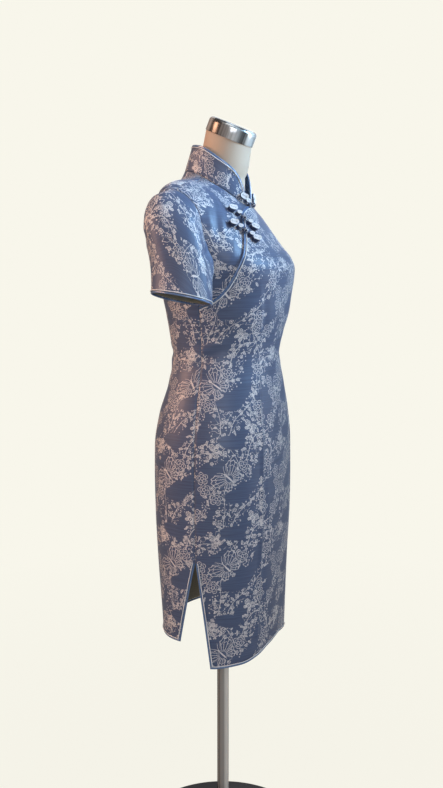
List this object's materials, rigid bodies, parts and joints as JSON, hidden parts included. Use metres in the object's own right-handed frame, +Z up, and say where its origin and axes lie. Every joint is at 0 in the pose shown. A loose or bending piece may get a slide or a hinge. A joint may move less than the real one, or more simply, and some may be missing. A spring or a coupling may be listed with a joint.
{
  "type": "cheongsam dress on dress form",
  "caption": "Knee-length short-sleeved cheongsam with mandarin collar, curved opening, frog fastenings and side slits, on a limbless dress form with pole and round base.",
  "frame": {"origin": "on the floor, under the middle of the base plate, which is the middle of the part's box", "axes": "+Z up; the dress faces -Y; the wearer's right hand is at -X"},
  "size_m": [0.521, 0.352, 1.5129],
  "materials": {
    "jacquard": "slate-blue woven silk with pale flower, sprig and butterfly motifs",
    "satin": "blue satin bias binding",
    "silver_cord": "thin silver-white piping cord",
    "frog_cord": "navy and silver wound cord",
    "form_cover": "smooth matte off-white",
    "chrome": "polished",
    "base_paint": "dark satin paint"
  },
  "bodies": {
    "root": {"front_panel": "jacquard", "front_edge_binding": "satin", "front_edge_piping": "silver_cord", "opening_binding": "satin", "opening_piping": "silver_cord", "back_panel": "jacquard", "back_edge_binding": "satin", "back_edge_piping": "silver_cord", "right_front": "jacquard", "sleeve_right": "jacquard", "cuff_right_binding": "satin", "cuff_right_piping": "silver_cord", "sleeve_left": "jacquard", "cuff_left_binding": "satin", "cuff_left_piping": "silver_cord", "collar": "jacquard", "collar_binding": "satin", "collar_piping": "silver_cord", "frog_collar_knot": "frog_cord", "frog_collar_loop": "frog_cord", "frog_chest_upper_knot": "frog_cord", "frog_chest_upper_loop": "frog_cord", "frog_chest_lower_knot": "frog_cord", "frog_chest_lower_loop": "frog_cord", "form_torso": "form_cover", "form_neck_cap": "chrome", "stand_pole": "chrome", "stand_base": "base_paint"}
  },
  "joints": []
}
